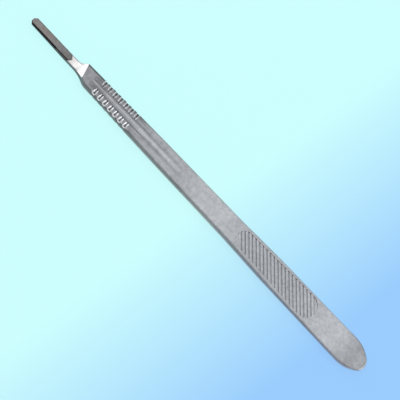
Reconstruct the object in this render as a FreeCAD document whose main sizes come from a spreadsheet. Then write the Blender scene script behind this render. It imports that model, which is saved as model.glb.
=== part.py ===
import FreeCAD
import Part
import Sketcher
import os
import re

# Long scalpel handle, forged, coined and ground from one bar of stainless steel.
# X runs from the blade end (negative) to the butt (positive), Y across the flat face
# and Z through the thickness. The steel is drawn about its middle plane, and the
# finished handle is then raised so that it lies on Z = 0.

Vector = FreeCAD.Vector

doc = FreeCAD.newDocument("scalpel_handle")

# Driving sizes, in millimetres and degrees
SIZES = {
    # outline seen from above
    "overall_length": 210.0,
    "shoulder_width": 8.5,
    "grip_width": 10.35,
    "waist_width": 11.3,
    "thumb_width": 13.1,
    "butt_width": 14.1,
    "grip_from_nose": 78.0,
    "waist_from_butt": 83.0,
    "thumb_from_butt": 59.0,
    "butt_side_radius": 16.0,
    "butt_tip_radius": 4.6,
    # thickness and edges
    "body_thickness": 4.0,
    "butt_thickness": 2.85,
    "thinning_length": 53.0,
    "dome_length": 8.0,
    "dome_radius": 50.0,
    "edge_radius": 0.7,
    # tongue and neck
    "shoulder_from_nose": 32.5,
    "shoulder_angle": 19.0,
    "tongue_width": 3.96,
    "nose_width": 3.74,
    "nose_chamfer": 1.2,
    "neck_from_nose": 27.5,
    "far_neck_from_nose": 28.1,
    "far_flare_radius": 8.0,
    "far_corner_radius": 1.0,
    "near_hollow_radius": 15.0,
    "near_shoulder_radius": 6.5,
    "seat_depth": 1.6,
    "ramp_radius": 12.0,
    "nose_lift": 1.5,
    "back_from_nose": 38.0,
    # boss that the blade slides over
    "boss_width": 3.2,
    "boss_height": 0.85,
    "boss_inset": 0.3,
    "boss_nose_chamfer": 1.0,
    "boss_length": 24.0,
    "boss_far_slope": 2.0,
    "boss_near_slope": 0.6,
    "boss_point_offset": 0.1,
    "boss_end_radius": 3.0,
    "web_width": 2.3,
    "undercut_height": 0.45,
    "undercut_length": 16.0,
    # two flutes on each face
    "flute_offset": 1.63,
    "flute_radius": 2.2,
    "flute_depth": 0.36,
    "flute_from_nose": 37.0,
    "flute_full_length": 29.0,
    "flute_fade_length": 30.0,
    "flute_plunge_radius": 6.0,
    # finger scoops in two rows on each face
    "scoop_count": 7.0,
    "scoop_pitch": 3.26,
    "scoop_from_nose": 42.0,
    "scoop_stagger": 0.35,
    "scoop_from_middle": 1.35,
    "scoop_width": 2.3,
    "scoop_floor_width": 0.9,
    "scoop_inner_depth": 0.5,
    "scoop_outer_depth": 1.0,
    # ribbed thumb panel on each face
    "panel_from_waist": 2.5,
    "panel_length": 48.5,
    "panel_front_half": 4.4,
    "panel_rear_half": 5.7,
    "panel_recess": 0.08,
    "rib_pitch": 2.32,
    "rib_lead": 1.2,
    "rib_angle": 46.0,
    "rib_base_width": 1.5,
    "rib_height": 0.3,
    # extra reach of the cutters past the steel they cut, and of the dies above its face
    "cutter_overrun": 1.0,
    "face_clearance": 0.05,
}

sheet = doc.addObject("Spreadsheet::Sheet", "Dims")
for row, (alias, size) in enumerate(SIZES.items(), start=1):
    sheet.set(f"A{row}", alias)
    sheet.set(f"B{row}", str(size))
    sheet.setAlias(f"B{row}", alias)
doc.recompute()


def bound(formula):
    """Point every size name of a formula at its cell on the sheet."""
    return re.sub(r"[a-z]+(?:_[a-z]+)+", r"Dims.\g<0>", formula)


def measure(formula):
    """Present value of a formula in size names."""
    return FreeCAD.Units.Quantity(sheet.evalExpression(bound(formula))).Value


def bind(target, prop, formula):
    """Tie a property of an object to a formula in size names."""
    target.setExpression(prop, bound(formula))


def rise_over(run, radius):
    """Formula for how far an arc that leaves a line smoothly has risen after a run."""
    return f"({radius} - sqrt({radius} ^ 2 - {run} ^ 2))"


def run_over(rise, radius):
    """Formula for the run that an arc leaving a line smoothly needs for a rise."""
    return f"sqrt(2 * {radius} * {rise} - {rise} ^ 2)"


def radius_over(run, rise):
    """Formula for the radius of an arc that leaves a line smoothly."""
    return f"(({run} ^ 2 + {rise} ^ 2) / (2 * {rise}))"


def origin_plane(body, role):
    return next(plane for plane in body.Origin.OriginFeatures if plane.Role == role)


def new_sketch(body, name, role, offset=("0", "0", "0"), turn="0"):
    """Sketch on an origin plane, moved along its own axes and turned about its own Y."""
    sketch = body.newObject("Sketcher::SketchObject", name)
    sketch.AttachmentSupport = [(origin_plane(body, role), "")]
    sketch.MapMode = "FlatFace"
    sketch.AttachmentOffset = FreeCAD.Placement(Vector(), FreeCAD.Rotation(Vector(0, 1, 0), 1))
    for axis, formula in zip("xyz", offset):
        bind(sketch, f"AttachmentOffset.Base.{axis}", formula)
    bind(sketch, "AttachmentOffset.Rotation.Angle", turn)
    return sketch


def draw(sketch, corners, closed=True):
    """Draw a wire whose corners and radii stay tied to the sheet.

    A corner is (x, y), or (x, y, radius, side) where the edge that leaves it is an arc
    bulging to its left (side 1) or to its right (side -1).
    """
    points = [Vector(measure(corner[0]), measure(corner[1]), 0) for corner in corners]
    last = len(corners) if closed else len(corners) - 1
    ends = []
    for index in range(last):
        corner, start, end = corners[index], points[index], points[(index + 1) % len(points)]
        if len(corner) == 2:
            edge = sketch.addGeometry(Part.LineSegment(start, end), False)
        else:
            radius, side = measure(corner[2]), corner[3]
            chord = end - start
            left = Vector(-chord.y, chord.x, 0).normalize()
            sagitta = radius - (radius ** 2 - chord.Length ** 2 / 4) ** 0.5
            middle = (start + end) / 2 + left * sagitta * side
            edge = sketch.addGeometry(Part.Arc(start, middle, end), False)
            held = sketch.addConstraint(Sketcher.Constraint("Radius", edge, radius))
            bind(sketch, f"Constraints[{held}]", corner[2])
        nearest = sorted((1, 2), key=lambda point: (sketch.getPoint(edge, point) - start).Length)
        ends.append((edge, *nearest))
    for index in range(last if closed else last - 1):
        edge, _, tail = ends[index]
        after, head, _ = ends[(index + 1) % last]
        sketch.addConstraint(Sketcher.Constraint("Coincident", edge, tail, after, head))
    for index, corner in enumerate(corners):
        edge, point = (ends[index][0], ends[index][1]) if index < last else (ends[-1][0], ends[-1][2])
        for kind, formula in (("DistanceX", corner[0]), ("DistanceY", corner[1])):
            held = sketch.addConstraint(Sketcher.Constraint(kind, -1, 1, edge, point, measure(formula)))
            bind(sketch, f"Constraints[{held}]", formula)


def cut_through(body, name, sketch, length, reverse=False, symmetric=True):
    """Pocket of a bound length, checked to have removed steel."""
    before = body.Shape.Volume
    pocket = body.newObject("PartDesign::Pocket", name)
    pocket.Profile = sketch
    pocket.SideType = "Symmetric" if symmetric else "One side"
    pocket.Reversed = reverse
    bind(pocket, "Length", length)
    settle(body, pocket)
    if body.Shape.Volume >= before:
        raise RuntimeError(name + " removed nothing")
    return pocket


def settle(body, feature):
    """Make a feature the tip of its body and build it."""
    body.Tip = feature
    doc.recompute()
    if "Invalid" in feature.State or "Error" in feature.State or feature.Shape.isNull():
        raise RuntimeError(feature.Label + " failed")


def is_side(face):
    """Tell whether the middle of a face leans more to the side than up."""
    first_u, last_u, first_v, last_v = face.ParameterRange
    normal = face.normalAt((first_u + last_u) / 2, (first_v + last_v) / 2)
    return abs(normal.z) < Vector(normal.x, normal.y, 0).Length


def rim_edges(shape, from_x, to_x):
    """Names of the edges between a side and one of the two faces of the flat."""
    names = []
    for number, edge in enumerate(shape.Edges, start=1):
        sides = [is_side(face) for face in shape.ancestorsOfType(edge, Part.Face)]
        if sides.count(True) == 1 and from_x < edge.CenterOfMass.x < to_x:
            names.append(f"Edge{number}")
    return names


def round_edges(body, name, edges, radius):
    """Fillet of the named edges of a body as it stands."""
    base = body.Tip
    fillet = body.newObject("PartDesign::Fillet", name)
    fillet.Base = (base, edges)
    bind(fillet, "Radius", radius)
    settle(body, fillet)
    return fillet


# Places along the handle that several features share
NOSE = "(-overall_length / 2)"
BUTT = "(overall_length / 2)"
WAIST = f"({BUTT} - waist_from_butt)"
THUMB = f"({BUTT} - thumb_from_butt)"
SHOULDER = f"({NOSE} + shoulder_from_nose)"
GRIP = f"({NOSE} + grip_from_nose)"
TOP = "(body_thickness / 2)"
SEAT = f"({TOP} - seat_depth)"

steel = doc.addObject("PartDesign::Body", "Blank")

# Forged outline: tongue, uneven shoulder, taper, wider thumb end and bluntly pointed butt
NECK = f"({NOSE} + neck_from_nose)"
SWELL = "(shoulder_width / 2 - tongue_width / 2)"
NEAR_RADII = "(near_hollow_radius + near_shoulder_radius)"
NEAR_RUN = run_over(SWELL, NEAR_RADII)
NEAR_SHARE = f"(near_hollow_radius / {NEAR_RADII})"
TIP_CENTRE = f"({BUTT} - butt_tip_radius)"
SIDE_CENTRE_DROP = "(butt_side_radius - butt_width / 2)"
SIDE_TO_TIP = "(butt_side_radius - butt_tip_radius)"
BUTT_CURVE = f"({TIP_CENTRE} - sqrt({SIDE_TO_TIP} ^ 2 - {SIDE_CENTRE_DROP} ^ 2))"
TIP_JOIN_X = f"({BUTT_CURVE} + butt_side_radius * ({TIP_CENTRE} - {BUTT_CURVE}) / {SIDE_TO_TIP})"
TIP_JOIN_Y = f"(butt_tip_radius * {SIDE_CENTRE_DROP} / {SIDE_TO_TIP})"
FAR_CORNER = f"({SHOULDER} - shoulder_width / 2 * tan(shoulder_angle))"
plan = new_sketch(steel, "PlanOutline", "XY_Plane")
draw(plan, [
    (NOSE, "nose_width / 2 - nose_chamfer"),
    (f"{NOSE} + nose_chamfer", "nose_width / 2"),
    (f"{NOSE} + far_neck_from_nose", "tongue_width / 2", "far_flare_radius", -1),
    (FAR_CORNER, "shoulder_width / 2"),
    (GRIP, "grip_width / 2"),
    (WAIST, "waist_width / 2"),
    (THUMB, "thumb_width / 2"),
    (BUTT_CURVE, "butt_width / 2", "butt_side_radius", 1),
    (TIP_JOIN_X, TIP_JOIN_Y, "butt_tip_radius", 1),
    (TIP_JOIN_X, f"-{TIP_JOIN_Y}", "butt_side_radius", 1),
    (BUTT_CURVE, "-butt_width / 2"),
    (THUMB, "-thumb_width / 2"),
    (WAIST, "-waist_width / 2"),
    (GRIP, "-grip_width / 2"),
    (f"{NECK} + {NEAR_RUN}", "-shoulder_width / 2", "near_shoulder_radius", 1),
    (f"{NECK} + {NEAR_RUN} * {NEAR_SHARE}", f"-tongue_width / 2 - {SWELL} * {NEAR_SHARE}",
     "near_hollow_radius", -1),
    (NECK, "-tongue_width / 2"),
    (f"{NOSE} + nose_chamfer", "-nose_width / 2"),
    (NOSE, "-nose_width / 2 + nose_chamfer"),
])
blank = steel.newObject("PartDesign::Pad", "BarStock")
blank.Profile = plan
blank.SideType = "Symmetric"
bind(blank, "Length", "body_thickness")
settle(steel, blank)
far_corner = Vector(measure(FAR_CORNER), measure("shoulder_width / 2"), 0)
nearest = min(enumerate(steel.Shape.Edges, start=1),
              key=lambda numbered: (numbered[1].CenterOfMass - far_corner).Length)
round_edges(steel, "ShoulderCorner", [f"Edge{nearest[0]}"], "far_corner_radius")

# Both faces slope in towards the thinner thumb end, and the last stretch is domed,
# so the handle lies on the flat of the grip
ACROSS = "(butt_width + cutter_overrun)"
THIN = "(butt_thickness / 2)"
THINNED = f"({WAIST} + thinning_length)"
DOME = f"({BUTT} - dome_length)"
DOME_END = f"({BUTT} + cutter_overrun)"
thinning = new_sketch(steel, "ThinningProfile", "XZ_Plane")
draw(thinning, [
    (WAIST, TOP),
    (THINNED, THIN),
    (DOME, THIN, "dome_radius", 1),
    (DOME_END, f"{THIN} - {rise_over('(dome_length + cutter_overrun)', 'dome_radius')}"),
    (DOME_END, f"{TOP} + cutter_overrun"),
    (WAIST, f"{TOP} + cutter_overrun"),
])
thinned = cut_through(steel, "Thinning", thinning, ACROSS)
thinned_behind = steel.newObject("PartDesign::Mirrored", "ThinningBehind")
thinned_behind.Originals = [thinned]
thinned_behind.MirrorPlane = (origin_plane(steel, "XY_Plane"), [""])
settle(steel, thinned_behind)

# Every long edge of both faces is rounded by tumbling and polishing
round_edges(steel, "RimRounding", rim_edges(steel.Shape, measure(NECK), measure(DOME_END)), "edge_radius")

# Neck: a flat seat for the blade, then a ramp ground up to the slanted shoulder
TO_NOSE = "(shoulder_from_nose + cutter_overrun)"
RAMP_RUN = run_over("seat_depth", "ramp_radius")
ramp = new_sketch(steel, "RampProfile", "XZ_Plane", (SHOULDER, "0", "0"), "shoulder_angle")
draw(ramp, [
    ("0", TOP, "ramp_radius", 1),
    (f"-{RAMP_RUN}", SEAT),
    (f"-{TO_NOSE}", SEAT),
    (f"-{TO_NOSE}", f"{TOP} + cutter_overrun"),
    ("0", f"{TOP} + cutter_overrun"),
])
cut_through(steel, "RampGrinding", ramp, "shoulder_from_nose")

# The rear of the neck and tongue is one long flat that rises from the grip to the nose
BACK_START = f"({NOSE} + back_from_nose)"
BACK_RATE = "(nose_lift / back_from_nose)"
back = new_sketch(steel, "BackTaperProfile", "XZ_Plane")
draw(back, [
    (BACK_START, f"-{TOP}"),
    (f"{NOSE} - cutter_overrun", f"-{TOP} + nose_lift + cutter_overrun * {BACK_RATE}"),
    (f"{NOSE} - cutter_overrun", f"-{TOP} - cutter_overrun"),
    (BACK_START, f"-{TOP} - cutter_overrun"),
])
cut_through(steel, "BackTaper", back, "shoulder_from_nose")

# Boss: the blade's slot passes over it, and its grooves hold the slot's edges
boss_plan = new_sketch(steel, "BossOutline", "XY_Plane", ("0", "0", SEAT))
BOSS_FRONT = f"({NOSE} + boss_inset)"
BOSS_REAR = f"({NOSE} + boss_length)"
draw(boss_plan, [
    (BOSS_FRONT, "boss_width / 2 - boss_nose_chamfer"),
    (f"{BOSS_FRONT} + boss_nose_chamfer", "boss_width / 2"),
    (f"{BOSS_REAR} - boss_far_slope", "boss_width / 2"),
    (BOSS_REAR, "boss_point_offset", "boss_end_radius", 1),
    (f"{BOSS_REAR} - boss_near_slope", "-boss_width / 2"),
    (f"{BOSS_FRONT} + boss_nose_chamfer", "-boss_width / 2"),
    (BOSS_FRONT, "-boss_width / 2 + boss_nose_chamfer"),
])
boss = steel.newObject("PartDesign::Pad", "Boss")
boss.Profile = boss_plan
bind(boss, "Length", "boss_height")
settle(steel, boss)

undercut = new_sketch(steel, "UndercutOutline", "XY_Plane", ("0", "0", SEAT))
UNDERCUT_FRONT = f"({NOSE} - cutter_overrun)"
UNDERCUT_REAR = f"({NOSE} + undercut_length)"
for side in ("", "-"):
    draw(undercut, [
        (UNDERCUT_FRONT, f"{side}web_width / 2"),
        (UNDERCUT_REAR, f"{side}web_width / 2"),
        (UNDERCUT_REAR, f"{side}(boss_width / 2 + cutter_overrun)"),
        (UNDERCUT_FRONT, f"{side}(boss_width / 2 + cutter_overrun)"),
    ])
cut_through(steel, "Undercut", undercut, "undercut_height", reverse=True, symmetric=False)

# Two shallow flutes run down each face of the grip and fade out towards the middle
FLUTE_RISE = "(flute_depth + face_clearance)"
FLUTE_AXIS = f"({TOP} - flute_depth + flute_radius)"
FLUTE_START = f"({NOSE} + flute_from_nose)"
FLUTE_FULL = f"({FLUTE_START} + {run_over(FLUTE_RISE, 'flute_plunge_radius')})"
FLUTE_FADE = f"({FLUTE_FULL} + flute_full_length)"
FLUTE_END = f"({FLUTE_FADE} + flute_fade_length)"
flute_round = new_sketch(steel, "FluteRound", "YZ_Plane", ("0", "0", FLUTE_FADE))
circle = flute_round.addGeometry(Part.Circle(Vector(measure("-flute_offset"), measure(FLUTE_AXIS), 0),
                                             Vector(0, 0, 1), measure("flute_radius")), False)
for kind, place, formula in (("Radius", (circle,), "flute_radius"),
                             ("DistanceX", (-1, 1, circle, 3), "-flute_offset"),
                             ("DistanceY", (-1, 1, circle, 3), FLUTE_AXIS)):
    held = flute_round.addConstraint(Sketcher.Constraint(kind, *place, measure(formula)))
    bind(flute_round, f"Constraints[{held}]", formula)
flute_cuts = []
for name, corners in (
    ("FluteRun", [(FLUTE_FADE, FLUTE_AXIS),
                  (FLUTE_FULL, FLUTE_AXIS, "flute_plunge_radius", 1),
                  (FLUTE_START, f"{FLUTE_AXIS} + {FLUTE_RISE}")]),
    ("FluteFade", [(FLUTE_FADE, FLUTE_AXIS, radius_over("flute_fade_length", FLUTE_RISE), -1),
                   (FLUTE_END, f"{FLUTE_AXIS} + {FLUTE_RISE}")]),
):
    path = new_sketch(steel, name + "Path", "XZ_Plane", ("0", "0", "flute_offset"))
    draw(path, corners, closed=False)
    cut = steel.newObject("PartDesign::SubtractivePipe", name)
    cut.Profile = flute_round
    cut.Spine = (path, [])
    settle(steel, cut)
    flute_cuts.append(cut)
flutes = steel.newObject("PartDesign::MultiTransform", "Flutes")
flutes.Originals = flute_cuts
flute_mirrors = []
for name, role in (("FluteAcross", "XZ_Plane"), ("FluteBehind", "XY_Plane")):
    reflection = steel.newObject("PartDesign::Mirrored", name)
    reflection.MirrorPlane = (origin_plane(steel, role), [""])
    flute_mirrors.append(reflection)
flutes.Transformations = flute_mirrors
settle(steel, flutes)

# Finger scoops: slots with sloping walls, seven to a row, that deepen and run out at each edge
SCOOP_END = "(shoulder_width / 2 + cutter_overrun)"
SIDE_SLOPE = f"((grip_width - shoulder_width) / 2 / ({GRIP} - {SHOULDER}))"
for row, side, stagger in (("NearScoop", "-", "0"), ("FarScoop", "", "scoop_stagger")):
    first_x = f"({NOSE} + scoop_from_nose + {stagger})"
    outlines = []
    for station, across, depth in (("Inner", "scoop_from_middle", "scoop_inner_depth"),
                                   ("Outer", SCOOP_END, "scoop_outer_depth")):
        outline = new_sketch(steel, row + station, "XZ_Plane", (first_x, TOP, f"-({side}{across})"))
        draw(outline, [
            ("-scoop_width / 2", "face_clearance"),
            ("-scoop_floor_width / 2", f"-{depth}"),
            ("scoop_floor_width / 2", f"-{depth}"),
            ("scoop_width / 2", "face_clearance"),
        ])
        outlines.append(outline)
    scoop = steel.newObject("PartDesign::SubtractiveLoft", row)
    scoop.Profile = outlines[0]
    scoop.Sections = outlines[1:]
    scoop.Ruled = True
    settle(steel, scoop)
    row_line = new_sketch(steel, row + "Line", "XY_Plane", (first_x, "0", "0"))
    draw(row_line, [("0", "0"), ("scoop_pitch", f"{side}scoop_pitch * {SIDE_SLOPE}")], closed=False)
    run = steel.newObject("PartDesign::LinearPattern", row + "Run")
    run.Direction = (row_line, ["Edge1"])
    bind(run, "Length", f"(scoop_count - 1) * scoop_pitch * sqrt(1 + {SIDE_SLOPE} ^ 2)")
    bind(run, "Occurrences", "scoop_count")
    behind = steel.newObject("PartDesign::Mirrored", row + "Behind")
    behind.MirrorPlane = (origin_plane(steel, "XY_Plane"), [""])
    copies = steel.newObject("PartDesign::MultiTransform", row + "Copies")
    copies.Originals = [scoop]
    copies.Transformations = [run, behind]
    settle(steel, copies)

# Ribbed thumb panel: a die with slanting hollows, pressed into both sloping faces
DIE_DEPTH = "(panel_recess + rib_height)"
PANEL_END = "(panel_from_waist + panel_length)"
RIB_RADIUS = radius_over("(rib_base_width / 2)", "rib_height")
die = doc.addObject("PartDesign::Body", "PanelDie")
die.Placement = FreeCAD.Placement(Vector(), FreeCAD.Rotation(Vector(0, 1, 0), 1))
bind(die, "Placement.Base.x", WAIST)
bind(die, "Placement.Base.z", TOP)
bind(die, "Placement.Rotation.Angle", f"atan(({TOP} - {THIN}) / thinning_length)")
panel_plan = new_sketch(die, "PanelOutline", "XY_Plane", ("0", "0", f"-{DIE_DEPTH}"))
draw(panel_plan, [
    ("panel_from_waist + panel_front_half", "panel_front_half"),
    (f"{PANEL_END} - panel_rear_half", "panel_rear_half", "panel_rear_half", 1),
    (PANEL_END, "0", "panel_rear_half", 1),
    (f"{PANEL_END} - panel_rear_half", "-panel_rear_half"),
    ("panel_from_waist + panel_front_half", "-panel_front_half", "panel_front_half", 1),
    ("panel_from_waist", "0", "panel_front_half", 1),
])
block = die.newObject("PartDesign::Pad", "DieBlock")
block.Profile = panel_plan
bind(block, "Length", f"{DIE_DEPTH} + cutter_overrun")
settle(die, block)
rib_round = new_sketch(die, "RibSection", "XZ_Plane",
                       ("panel_from_waist + rib_lead", "0", "0"), "90 - rib_angle")
draw(rib_round, [
    ("-rib_base_width / 2", f"-{DIE_DEPTH}", RIB_RADIUS, 1),
    ("rib_base_width / 2", f"-{DIE_DEPTH}"),
    ("rib_base_width / 2", f"-{DIE_DEPTH} - cutter_overrun"),
    ("-rib_base_width / 2", f"-{DIE_DEPTH} - cutter_overrun"),
])
hollow = cut_through(die, "RibHollow", rib_round, "panel_length")
hollows = die.newObject("PartDesign::LinearPattern", "RibHollows")
hollows.Originals = [hollow]
hollows.Direction = (panel_plan, ["H_Axis"])
bind(hollows, "Occurrences", "floor(panel_length / rib_pitch) + 1")
bind(hollows, "Length", "floor(panel_length / rib_pitch) * rib_pitch")
settle(die, hollows)

die_behind = doc.addObject("Part::Mirroring", "PanelDieBehind")
die_behind.Source = die
die_behind.Normal = Vector(0, 0, 1)
dies = doc.addObject("Part::Compound", "PanelDies")
dies.Links = [die, die_behind]
handle = doc.addObject("Part::Cut", "handle")
handle.Base = steel
handle.Tool = dies
bind(handle, "Placement.Base.z", TOP)
doc.recompute()

# The handle is written only if every step above was built and it is one sound solid
for thing in doc.Objects:
    if "Invalid" in thing.State or "Error" in thing.State:
        raise RuntimeError(thing.Label + " was not built")
if handle.Shape.isNull() or not handle.Shape.isValid() or len(handle.Shape.Solids) != 1:
    raise RuntimeError("handle is not one sound solid")
os.makedirs("parts", exist_ok=True)
handle.Shape.exportStep("parts/handle.step")
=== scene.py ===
import bpy
import math
from mathutils import Matrix, Vector


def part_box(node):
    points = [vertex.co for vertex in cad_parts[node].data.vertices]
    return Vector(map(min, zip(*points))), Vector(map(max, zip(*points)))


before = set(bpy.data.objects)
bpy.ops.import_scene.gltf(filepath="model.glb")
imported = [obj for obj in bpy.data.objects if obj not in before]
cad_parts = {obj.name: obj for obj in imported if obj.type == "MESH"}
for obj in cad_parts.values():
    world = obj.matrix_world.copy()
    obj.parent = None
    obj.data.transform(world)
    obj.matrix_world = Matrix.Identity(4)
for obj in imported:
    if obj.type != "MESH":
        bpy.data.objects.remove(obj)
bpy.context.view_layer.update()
scene = bpy.context.scene

# Handle. One bar of stainless steel, forged to its outline and coined with scoops, flutes and
# ribs, then blasted and lightly brushed along its length to a satin grey. The neck and its
# ramp are ground bright afterwards, and the tongue with its boss is painted browner and darker
# than the face, as a painted reflection.
low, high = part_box("handle")
HALF_LENGTH = (high.x - low.x) / 2
HALF_THICKNESS = (high.z - low.z) / 2
SHOULDER_X = -0.0725
SHOULDER_SLANT = math.tan(math.radians(19))
SHOULDER_HALF_WIDTH = 0.00425
SIDE_SLOPE = 0.0203
BOSS_END_X = -0.0803
BOSS_END_SLANT = 0.8
GROOVE_END_X = -0.0889
FLUTES_FROM_X = -0.0675
FLUTES_TO_X = -0.0080
SCOOPS_FROM_X = -0.0649
SCOOPS_TO_X = -0.0410
PANEL_FROM_X = 0.0245
PANEL_TO_X = 0.0730
PANEL_WIDENING = 0.0268
THINS_FROM_X = 0.022
THINNING_SLOPE = 0.01085
RIB_ANGLE = math.radians(46)
FIRST_GROOVE = 0.0177
LAST_GROOVE = 0.0527


def join(tree, *ends):
    """Link pairs of sockets: output, input, output, input and so on."""
    for out_end, in_end in zip(ends[::2], ends[1::2]):
        tree.links.new(out_end, in_end)


def work_out(tree, operation, *values):
    """Math node whose inputs are numbers or sockets."""
    node = tree.nodes.new("ShaderNodeMath")
    node.operation = operation
    for slot, value in zip(node.inputs, values):
        if isinstance(value, (int, float)):
            slot.default_value = value
        else:
            tree.links.new(value, slot)
    return node.outputs[0]


def plus(tree, first, *others):
    """Sum of numbers and sockets."""
    for other in others:
        first = work_out(tree, "ADD", first, other)
    return first


def times(tree, first, *others):
    """Product of numbers and sockets."""
    for other in others:
        first = work_out(tree, "MULTIPLY", first, other)
    return first


def between(tree, mask, start, end):
    """Number that goes from start to end as a mask goes from 0 to 1."""
    return plus(tree, start, times(tree, mask, end - start))


def fade(tree, value, start, end, smooth=True):
    """Mask that goes from 0 to 1 as a value goes from start to end, upwards or downwards."""
    node = tree.nodes.new("ShaderNodeMapRange")
    node.interpolation_type = "SMOOTHSTEP" if smooth else "LINEAR"
    node.inputs["From Min"].default_value = start
    node.inputs["From Max"].default_value = end
    tree.links.new(value, node.inputs["Value"])
    return node.outputs["Result"]


def within(tree, value, rise, fall):
    """Mask that comes in over one stretch of a value and goes out over another."""
    return times(tree, fade(tree, value, *rise), fade(tree, value, *fall))


def blend_colours(tree, factor, first, second, way="MIX"):
    """Mix of two colours, tuples or sockets, by a number or a mask."""
    node = tree.nodes.new("ShaderNodeMix")
    node.data_type = "RGBA"
    node.blend_type = way
    for name, value in (("Factor", factor), ("A", first), ("B", second)):
        if isinstance(value, tuple):
            node.inputs[name].default_value = (*value, 1.0)
        elif isinstance(value, float):
            node.inputs[name].default_value = value
        else:
            tree.links.new(value, node.inputs[name])
    return node.outputs["Result"]


def shaded(tree, colour, gain):
    """Colour made darker or lighter by a number."""
    node = tree.nodes.new("ShaderNodeVectorMath")
    node.operation = "SCALE"
    join(tree, colour, node.inputs[0], gain, node.inputs["Scale"])
    return node.outputs[0]


def noise(tree, place, scale, detail):
    """Noise over a place, from 0 to 1."""
    node = tree.nodes.new("ShaderNodeTexNoise")
    node.inputs["Scale"].default_value = scale
    node.inputs["Detail"].default_value = detail
    tree.links.new(place, node.inputs["Vector"])
    return node.outputs["Fac"]


def parts_of(tree, vector):
    """X, Y and Z of a vector."""
    split = tree.nodes.new("ShaderNodeSeparateXYZ")
    tree.links.new(vector, split.inputs[0])
    return split.outputs


steel = bpy.data.materials.new("satin_stainless")
steel.use_nodes = True
tree = steel.node_tree
shader = tree.nodes["Principled BSDF"]
shader.inputs["Metallic"].default_value = 1.0
surface = tree.nodes.new("ShaderNodeTexCoord").outputs
place = parts_of(tree, surface["Object"])
facing = parts_of(tree, surface["Normal"])
off_middle = work_out(tree, "ABSOLUTE", place["Y"])
from_mid_plane = work_out(tree, "ABSOLUTE", work_out(tree, "SUBTRACT", place["Z"], HALF_THICKNESS))
up_turned = work_out(tree, "ABSOLUTE", facing["Z"])
half_width = plus(tree, SHOULDER_HALF_WIDTH - SHOULDER_X * SIDE_SLOPE, times(tree, place["X"], SIDE_SLOPE))

# Brushing streaks run the length of the steel, over a finer blasted mottle and broad clouds
STREAK_STRETCH = (90.0, 4200.0, 4200.0)
MOTTLE_SCALE = 650.0
CLOUD_SCALE = 130.0
EVEN_SHARE = 0.33
MOTTLE_SHARE = 0.60
CLOUD_SHARE = 0.34
STREAK_SHARE = 0.40
stretched = tree.nodes.new("ShaderNodeVectorMath")
stretched.operation = "MULTIPLY"
stretched.inputs[1].default_value = STREAK_STRETCH
join(tree, surface["Object"], stretched.inputs[0])
streaks = noise(tree, stretched.outputs[0], scale=1.0, detail=3.0)
mottle = noise(tree, surface["Object"], MOTTLE_SCALE, detail=4.0)
clouds = noise(tree, surface["Object"], CLOUD_SCALE, detail=2.0)
unevenness = plus(tree, times(tree, mottle, MOTTLE_SHARE), times(tree, clouds, CLOUD_SHARE),
                  times(tree, streaks, STREAK_SHARE), EVEN_SHARE)

# The satin grey is painted lighter and darker along its length as painted light and shade,
# darker behind the shoulder and at the butt, where the face slopes away
SATIN_LIGHT_AND_SHADE_ALONG = [(-0.043, 0.27), (-0.032, 0.375), (-0.023, 0.385), (-0.012, 0.365),
               (-0.002, 0.42), (0.014, 0.44), (0.022, 0.395), (0.070, 0.425),
               (0.077, 0.475), (0.087, 0.487), (0.0975, 0.335), (0.1015, 0.42)]
STEEL_TINT = (0.965, 1.0, 1.055)
painted_light_along = tree.nodes.new("ShaderNodeValToRGB")
stops = painted_light_along.color_ramp.elements
while len(stops) < len(SATIN_LIGHT_AND_SHADE_ALONG):
    stops.new(1.0)
for stop, (x, grey) in zip(stops, SATIN_LIGHT_AND_SHADE_ALONG):
    stop.position = (x + HALF_LENGTH) / (2 * HALF_LENGTH)
    stop.color = (*(grey * share for share in STEEL_TINT), 1.0)
join(tree, fade(tree, place["X"], -HALF_LENGTH, HALF_LENGTH, smooth=False), painted_light_along.inputs[0])
satin = shaded(tree, painted_light_along.outputs["Color"], unevenness)

# The tongue is painted brown and darker than the face, a painted reflection, with greyer
# patches, and it is darker in front of the neck as painted shade
TONGUE_BROWN = (0.225, 0.208, 0.200)
TONGUE_REAR = (0.16, 0.16, 0.163)
TONGUE_GREY = (0.19, 0.195, 0.205)
TONGUE_DARKENS = (-0.096, -0.082)
PATCH_EDGE = (0.42, 0.58)
PATCH_SHARE = 0.3
tongue = blend_colours(tree, fade(tree, place["X"], *TONGUE_DARKENS), TONGUE_BROWN, TONGUE_REAR)
patches = times(tree, fade(tree, clouds, *PATCH_EDGE), PATCH_SHARE)
tongue = shaded(tree, blend_colours(tree, patches, tongue, TONGUE_GREY), unevenness)

# The neck is ground bright, least by the boss, and its ramp catches so much light that its
# own colour is darker
GROUND_NEAR_BOSS = (0.62, 0.60, 0.60)
GROUND_BRIGHT = (0.84, 0.83, 0.825)
GROUND_RAMP = (0.52, 0.515, 0.52)
NECK_BRIGHTENS = (-0.0795, -0.0775)
RAMP_STARTS = (-0.0770, -0.0758)
BOSS_END = (BOSS_END_X - 0.0003, BOSS_END_X + 0.0004)
ground = blend_colours(tree, fade(tree, place["X"], *NECK_BRIGHTENS), GROUND_NEAR_BOSS, GROUND_BRIGHT)
ground = blend_colours(tree, fade(tree, place["X"], *RAMP_STARTS), ground, GROUND_RAMP)
behind_boss = plus(tree, place["X"], times(tree, off_middle, BOSS_END_SLANT))
neck = fade(tree, behind_boss, *BOSS_END)
tone = blend_colours(tree, neck, tongue, ground)
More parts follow.
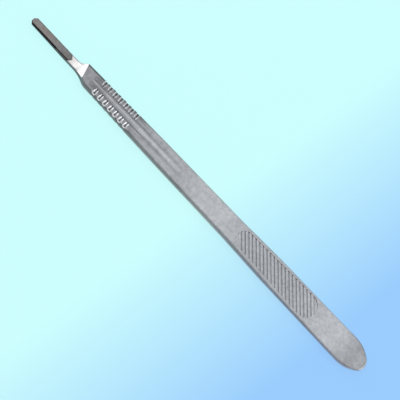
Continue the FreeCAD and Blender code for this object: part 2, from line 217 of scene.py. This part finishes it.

# On the body, which starts at the slanted shoulder line, the ridge between the flutes and
# their outer rims get a painted highlight, strongest at the scoops, and the flutes' bottoms
# get painted shade
SHOULDER_LINE = (SHOULDER_X - 0.0002, SHOULDER_X + 0.0001)
FLUTES_START = (FLUTES_FROM_X, FLUTES_FROM_X + 0.002)
FLUTES_END = (FLUTES_TO_X, FLUTES_TO_X - 0.02)
FLUTE_HIGHLIGHT_GROWS = (-0.068, -0.046)
FLUTE_HIGHLIGHT_FADES = (-0.030, -0.042)
RIDGE = (0.00125, 0.0008)
RIDGE_FLANK = ((0.00045, 0.00075), (0.0013, 0.0010))
RIM = ((0.00195, 0.00225), (0.0030, 0.0026))
LAND = (0.0026, 0.0030)
FLUTE_BOTTOM_SHADE = 0.735
RIDGE_GAIN = 0.46
SCOOPS_RIDGE_HIGHLIGHT_GAIN = 0.84
RIM_GAIN = 0.37
LAND_GAIN = 0.19
FLANK_GAIN = 0.5
behind_line = plus(tree, place["X"], times(tree, place["Y"], SHOULDER_SLANT))
body = fade(tree, behind_line, *SHOULDER_LINE)
near_scoops = within(tree, place["X"], FLUTE_HIGHLIGHT_GROWS, FLUTE_HIGHLIGHT_FADES)
ridge_gain = between(tree, near_scoops, RIDGE_GAIN, SCOOPS_RIDGE_HIGHLIGHT_GAIN)
on_rim = within(tree, off_middle, *RIM)
flanks = plus(tree, within(tree, off_middle, *RIDGE_FLANK), on_rim)
fluted_tone = plus(tree, FLUTE_BOTTOM_SHADE,
                   times(tree, fade(tree, off_middle, *RIDGE), ridge_gain),
                   times(tree, on_rim, RIM_GAIN),
                   times(tree, fade(tree, off_middle, *LAND), LAND_GAIN),
                   times(tree, near_scoops, flanks, FLANK_GAIN))
fluted = within(tree, place["X"], FLUTES_START, FLUTES_END)
flute_light_and_shade = plus(tree, times(tree, fluted, work_out(tree, "SUBTRACT", fluted_tone, 1.0)), 1.0)
tone = blend_colours(tree, body, tone, shaded(tree, satin, flute_light_and_shade))

# Side walls are painted darker and reddish, a painted reflection of shaded surroundings in
# place of the cyan floor they mirror, and this painted shade is lighter towards the butt and
# low down. The near rounding beside the ramp is ground with it, and the panel's own walls are
# as satin as its face.
WALL_SHADE_TINT = (0.92, 0.66, 0.64)
BUTT_WALL_SHADE_TINT = (0.93, 0.63, 0.52)
WALL_SHADE_TINT_CHANGES = (0.050, 0.075)
WALL_TURN = (0.8, 0.35)
RAMP_SIDE = ((-0.0755, -0.0740), (-0.0690, -0.0705))
NEAR_SIDE = (0.0, -0.001)
RAMP_SIDE_TURN = 0.4
PANEL_START = (PANEL_FROM_X - 0.0006, PANEL_FROM_X - 0.0002)
PANEL_END = (PANEL_TO_X + 0.0006, PANEL_TO_X + 0.0002)
PANEL_SIDE = (0.0046, 0.0043)
NECK_WALL_GAIN = 0.35
WALL_LIGHTENS = (-0.015, 0.090)
WALL_LIGHTENING = 0.36
BUTT_WALL_LIGHTENS = (0.085, 0.100)
BUTT_WALL_LIGHTENING = 1.05
WALL_RISE = (0.0004, 0.0027)
WALL_GAIN_LOW = 1.68
WALL_GAIN_HIGH = 0.82
panel_side = work_out(tree, "SUBTRACT", off_middle, times(tree, place["X"], PANEL_WIDENING))
in_panel = times(tree, within(tree, place["X"], PANEL_START, PANEL_END), fade(tree, panel_side, *PANEL_SIDE))
by_ramp = times(tree, within(tree, place["X"], *RAMP_SIDE), fade(tree, place["Y"], *NEAR_SIDE))
turn = plus(tree, up_turned, times(tree, by_ramp, RAMP_SIDE_TURN))
wall = times(tree, fade(tree, turn, *WALL_TURN), work_out(tree, "SUBTRACT", 1.0, in_panel))
wall_shade_tint = blend_colours(tree, fade(tree, place["X"], *WALL_SHADE_TINT_CHANGES), WALL_SHADE_TINT, BUTT_WALL_SHADE_TINT)
wall_gain = plus(tree, between(tree, body, NECK_WALL_GAIN, 1.0),
                 times(tree, fade(tree, place["X"], *WALL_LIGHTENS), WALL_LIGHTENING),
                 times(tree, fade(tree, place["X"], *BUTT_WALL_LIGHTENS), BUTT_WALL_LIGHTENING))
by_height = between(tree, fade(tree, place["Z"], *WALL_RISE), WALL_GAIN_LOW, WALL_GAIN_HIGH)
wall_painted_shade = blend_colours(tree, 1.0, satin, wall_shade_tint, "MULTIPLY")
wall_painted_shade = shaded(tree, wall_painted_shade, times(tree, wall_gain, by_height))
tone = blend_colours(tree, wall, tone, wall_painted_shade)

# Hollows get painted shade where their walls close in, though hardly in the panel or on the neck
HOLLOW_SHADE = (0.40, 0.39, 0.38)
HOLLOW_REACH = 0.0009
HOLLOW_DEPTH = (0.95, 0.45)
NECK_START = (GROOVE_END_X - 0.0005, GROOVE_END_X + 0.0005)
HOLLOW_SHADE_SHARE = 0.9
SHADE_HELD_BACK = -0.8
hollow = tree.nodes.new("ShaderNodeAmbientOcclusion")
hollow.samples = 8
hollow.only_local = True
hollow.inputs["Distance"].default_value = HOLLOW_REACH
behind_groove = work_out(tree, "SUBTRACT", fade(tree, place["X"], *NECK_START), body)
hollow_shade_amount = plus(tree, HOLLOW_SHADE_SHARE, times(tree, in_panel, SHADE_HELD_BACK), times(tree, behind_groove, SHADE_HELD_BACK))
hollow_shade_amount = times(tree, fade(tree, hollow.outputs["AO"], *HOLLOW_DEPTH), hollow_shade_amount)
tone = blend_colours(tree, hollow_shade_amount, tone, HOLLOW_SHADE, "MULTIPLY")

# The grooves between the ribs are painted darker than the ribs' tops, as painted shade
RIB_GROOVE_SHADE = (0.48, 0.48, 0.49)
RIB_GROOVE_DEPTH = (0.00024, 0.00036)
RIBS_START = (FIRST_GROOVE - 0.0001, FIRST_GROOVE + 0.0002)
RIBS_END = (LAST_GROOVE + 0.0001, LAST_GROOVE - 0.0002)
face_height = work_out(tree, "SUBTRACT", HALF_THICKNESS + THINS_FROM_X * THINNING_SLOPE,
                       times(tree, place["X"], THINNING_SLOPE))
below_face = work_out(tree, "SUBTRACT", face_height, from_mid_plane)
across_ribs = plus(tree, times(tree, place["X"], math.sin(RIB_ANGLE)),
                   times(tree, place["Y"], math.cos(RIB_ANGLE)))
rib_groove = times(tree, in_panel, fade(tree, below_face, *RIB_GROOVE_DEPTH),
                   within(tree, across_ribs, RIBS_START, RIBS_END))
tone = blend_colours(tree, rib_groove, tone, RIB_GROOVE_SHADE, "MULTIPLY")

# The undercut grooves beside the boss are painted almost black as painted shadow under the boss,
# and the neck's side edges are painted darker as painted shade
GROOVE_SHADE = (0.03, 0.03, 0.03)
GROOVE_SHARE = 0.8
GROOVE_END = (GROOVE_END_X + 0.0004, GROOVE_END_X - 0.0004)
GROOVE_SIDE = (0.0013, 0.0015)
GROOVE_FLOOR = (0.0021, 0.0023)
NECK_SIDE = (0.0014, 0.0018)
NECK_SIDE_ENDS = (-0.0745, -0.0765)
NECK_SIDE_SHARE = 0.7
groove = times(tree, fade(tree, place["X"], *GROOVE_END), fade(tree, off_middle, *GROOVE_SIDE),
               fade(tree, place["Z"], *GROOVE_FLOOR))
tone = blend_colours(tree, times(tree, groove, GROOVE_SHARE), tone, GROOVE_SHADE)
polish = work_out(tree, "SUBTRACT", neck, body)
neck_side = times(tree, polish, fade(tree, off_middle, *NECK_SIDE), fade(tree, place["X"], *NECK_SIDE_ENDS))
tone = blend_colours(tree, times(tree, neck_side, NECK_SIDE_SHARE), tone, TONGUE_REAR)

# The rounded edges behind the scoops get a painted highlight. Beside them the far edge gets
# painted shade, with a painted dark line along it behind the shoulder.
EDGE_HIGHLIGHT_GAIN = (1.25, 1.25, 1.25)
FAR_EDGE_SHADE = (0.60, 0.62, 0.62)
FAR_LINE_SHADE = (0.56, 0.56, 0.56)
ROUNDING = ((0.5, 0.75), (0.995, 0.96))
UPWARD = (0.2, 0.45)
GRIP_END = (-0.036, -0.042)
BUTT_ROUNDING_ENDS = (0.095, 0.085)
FAR_EDGE_SHADE_SIDE = (0.0026, 0.0040)
FAR_LINE_SIDE = (0.0011, 0.0006)
FAR_LINE_ENDS = (-0.0625, -0.0660)
grip_end = fade(tree, place["X"], *GRIP_END)
upward = fade(tree, up_turned, *UPWARD)
edge_highlight = times(tree, within(tree, up_turned, *ROUNDING), work_out(tree, "SUBTRACT", body, grip_end),
                fade(tree, place["X"], *BUTT_ROUNDING_ENDS))
tone = blend_colours(tree, edge_highlight, tone, EDGE_HIGHLIGHT_GAIN, "MULTIPLY")
far_edge_shade = times(tree, body, grip_end, upward, fade(tree, place["Y"], *FAR_EDGE_SHADE_SIDE))
tone = blend_colours(tree, far_edge_shade, tone, FAR_EDGE_SHADE, "MULTIPLY")
from_far_edge = work_out(tree, "SUBTRACT", half_width, place["Y"])
far_line = times(tree, fade(tree, from_far_edge, *FAR_LINE_SIDE), body, upward,
                 fade(tree, place["X"], *FAR_LINE_ENDS))
tone = blend_colours(tree, far_line, tone, FAR_LINE_SHADE, "MULTIPLY")

# The scoops' floors get painted shade. Their sloping walls, and the lips where the near row
# breaks out of the edge, get a painted highlight, and the far row's walls a little less, as painted shade.
SCOOP_DEPTH_SHADE = (0.62, 0.62, 0.62)
SCOOP_HIGHLIGHT = (0.82, 0.83, 0.85)
SCOOPS_START = (SCOOPS_FROM_X, SCOOPS_FROM_X + 0.0003)
SCOOPS_END = (SCOOPS_TO_X, SCOOPS_TO_X - 0.0003)
SLOT_START = (0.0012, 0.0014)
SLOT_DEPTH = (0.00165, 0.0015)
SLOT_FLOOR = (0.8, 0.95)
SLOT_WALL_TURN = (0.25, 0.5)
SLOT_WALL_DEPTH = (0.00196, 0.00184)
LIP_WIDTH = (0.0007, 0.0004)
LIP_TURN = (0.8, 0.9)
NEAR_ROW_HIGHLIGHT = 0.92
FAR_ROW_HIGHLIGHT = 0.65
BETWEEN_ROWS = (-0.0005, 0.0005)
scooped = within(tree, place["X"], SCOOPS_START, SCOOPS_END)
in_slot = times(tree, scooped, fade(tree, off_middle, *SLOT_START), fade(tree, from_mid_plane, *SLOT_DEPTH),
                fade(tree, up_turned, *SLOT_FLOOR))
tone = blend_colours(tree, in_slot, tone, SCOOP_DEPTH_SHADE, "MULTIPLY")
from_near_edge = plus(tree, half_width, place["Y"])
lip = times(tree, fade(tree, from_near_edge, *LIP_WIDTH), fade(tree, up_turned, *LIP_TURN))
slot_wall = times(tree, fade(tree, work_out(tree, "ABSOLUTE", facing["X"]), *SLOT_WALL_TURN),
                  fade(tree, from_mid_plane, *SLOT_WALL_DEPTH))
highlight_share = between(tree, fade(tree, place["Y"], *BETWEEN_ROWS), NEAR_ROW_HIGHLIGHT, FAR_ROW_HIGHLIGHT)
scoop_highlight = times(tree, scooped, work_out(tree, "MAXIMUM", lip, slot_wall), highlight_share)
tone = blend_colours(tree, scoop_highlight, tone, SCOOP_HIGHLIGHT)
join(tree, tone, shader.inputs["Base Color"])

# Streaks and mottle roughen the satin, the ground neck is smoother, and sharp edges are eased
SATIN_ROUGHNESS = (0.36, 0.50)
POLISH_SMOOTHING = -0.12
EDGE_EASING = 0.0002
RELIEF_STRENGTH = 0.15
RELIEF_HEIGHT = 0.00004
rough = plus(tree, between(tree, streaks, *SATIN_ROUGHNESS), times(tree, polish, POLISH_SMOOTHING))
join(tree, rough, shader.inputs["Roughness"])
eased_edges = tree.nodes.new("ShaderNodeBevel")
eased_edges.samples = 8
eased_edges.inputs["Radius"].default_value = EDGE_EASING
relief = tree.nodes.new("ShaderNodeBump")
relief.inputs["Strength"].default_value = RELIEF_STRENGTH
relief.inputs["Distance"].default_value = RELIEF_HEIGHT
join(tree, eased_edges.outputs[0], relief.inputs["Normal"],
     plus(tree, streaks, mottle), relief.inputs["Height"],
     relief.outputs[0], shader.inputs["Normal"])

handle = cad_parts["handle"]
handle.data.materials.clear()
handle.data.materials.append(steel)

# Floor. A plain pale sheet that the handle lies on, tinted from cyan to sky blue across the
# picture. Most of its tint is its own glow, for the camera and for reflections alike, and
# the rest is lit, so it keeps a faint shadow.
FLOOR_HALF = 1.5
PALE_CYAN = (0.617, 1.0, 1.0)
SKY_BLUE = (0.328, 0.610, 0.992)
TINT_CHANGES = (0.005, 0.0865)
TINT_SLANT = -0.115
GLOW_SHARE = 0.87
PAPER_ROUGHNESS = 0.9
floor_mesh = bpy.data.meshes.new("floor")
floor_mesh.from_pydata([(-FLOOR_HALF, -FLOOR_HALF, 0.0), (FLOOR_HALF, -FLOOR_HALF, 0.0),
                        (FLOOR_HALF, FLOOR_HALF, 0.0), (-FLOOR_HALF, FLOOR_HALF, 0.0)],
                       [], [(0, 1, 2, 3)])
floor = bpy.data.objects.new("floor", floor_mesh)
scene.collection.objects.link(floor)
paper = bpy.data.materials.new("tinted_paper")
paper.use_nodes = True
tree = paper.node_tree
shader = tree.nodes["Principled BSDF"]
shader.inputs["Roughness"].default_value = PAPER_ROUGHNESS
shader.inputs["Specular IOR Level"].default_value = 0.0
place = parts_of(tree, tree.nodes.new("ShaderNodeTexCoord").outputs["Object"])
across = plus(tree, place["X"], times(tree, place["Y"], TINT_SLANT))
tint = blend_colours(tree, fade(tree, across, *TINT_CHANGES, smooth=False), PALE_CYAN, SKY_BLUE)
join(tree, tint, shader.inputs["Base Color"])
glow = tree.nodes.new("ShaderNodeEmission")
join(tree, tint, glow.inputs["Color"])
rays = tree.nodes.new("ShaderNodeLightPath").outputs
seen = work_out(tree, "MAXIMUM", rays["Is Camera Ray"],
                work_out(tree, "MAXIMUM", rays["Is Glossy Ray"], rays["Is Transmission Ray"]))
both = tree.nodes.new("ShaderNodeMixShader")
join(tree, times(tree, seen, GLOW_SHARE), both.inputs[0],
     shader.outputs[0], both.inputs[1], glow.outputs[0], both.inputs[2],
     both.outputs[0], tree.nodes["Material Output"].inputs["Surface"])
floor_mesh.materials.append(paper)

# Light. One large soft panel overhead, a low soft panel beyond each end, which light the
# scoops' walls and the ramp, and an even white room.
CENTRE = Vector((0.0, 0.0, HALF_THICKNESS))
LAMP_DISTANCE = 1.2
ROOM_STRENGTH = 0.6


def soft_panel(name, towards, size, power):
    """Square lamp that faces the middle of the handle."""
    lamp = bpy.data.lights.new(name, "AREA")
    lamp.shape = "SQUARE"
    lamp.size = size
    lamp.energy = power
    holder = bpy.data.objects.new(name, lamp)
    direction = Vector(towards).normalized()
    holder.location = CENTRE + direction * LAMP_DISTANCE
    holder.rotation_euler = direction.to_track_quat("Z", "Y").to_euler()
    scene.collection.objects.link(holder)


soft_panel("overhead_panel", towards=(0.0, 0.4, 0.92), size=0.8, power=1.7)
soft_panel("nose_panel", towards=(-0.82, 0.25, 0.50), size=1.1, power=6.5)
soft_panel("butt_panel", towards=(0.86, 0.25, 0.36), size=0.7, power=3.6)
room = bpy.data.worlds.new("room")
room.use_nodes = True
background = room.node_tree.nodes["Background"]
background.inputs["Color"].default_value = (1.0, 1.0, 1.0, 1.0)
background.inputs["Strength"].default_value = ROOM_STRENGTH
scene.world = room

# Camera. It looks down on the lying handle, leaning towards its near edge, and is turned
# so that the handle runs from the upper left to the lower right of the picture.
LEAN = math.radians(23.5)
TURN = math.radians(46.48)
VIEW_WIDTH = 0.1748
LENS = 135.0
SENSOR = 36.0
PICTURE_PIXELS = 400
OFF_CENTRE_PIXELS = (1.6, -6.3)
back = Vector((0.0, -math.sin(LEAN), math.cos(LEAN)))
across_handle = Vector((0.0, math.cos(LEAN), math.sin(LEAN)))
right = Vector((math.cos(TURN), 0.0, 0.0)) + across_handle * math.sin(TURN)
up = Vector((-math.sin(TURN), 0.0, 0.0)) + across_handle * math.cos(TURN)
off_centre = right * OFF_CENTRE_PIXELS[0] + up * OFF_CENTRE_PIXELS[1]
aim = CENTRE + off_centre * (VIEW_WIDTH / PICTURE_PIXELS)
lens = bpy.data.cameras.new("camera")
lens.lens = LENS
lens.sensor_width = SENSOR
camera = bpy.data.objects.new("camera", lens)
turned = Matrix((right, up, back)).transposed().to_4x4()
turned.translation = aim + back * (VIEW_WIDTH * LENS / SENSOR)
camera.matrix_world = turned
scene.collection.objects.link(camera)
scene.camera = camera
scene.view_settings.view_transform = "Standard"
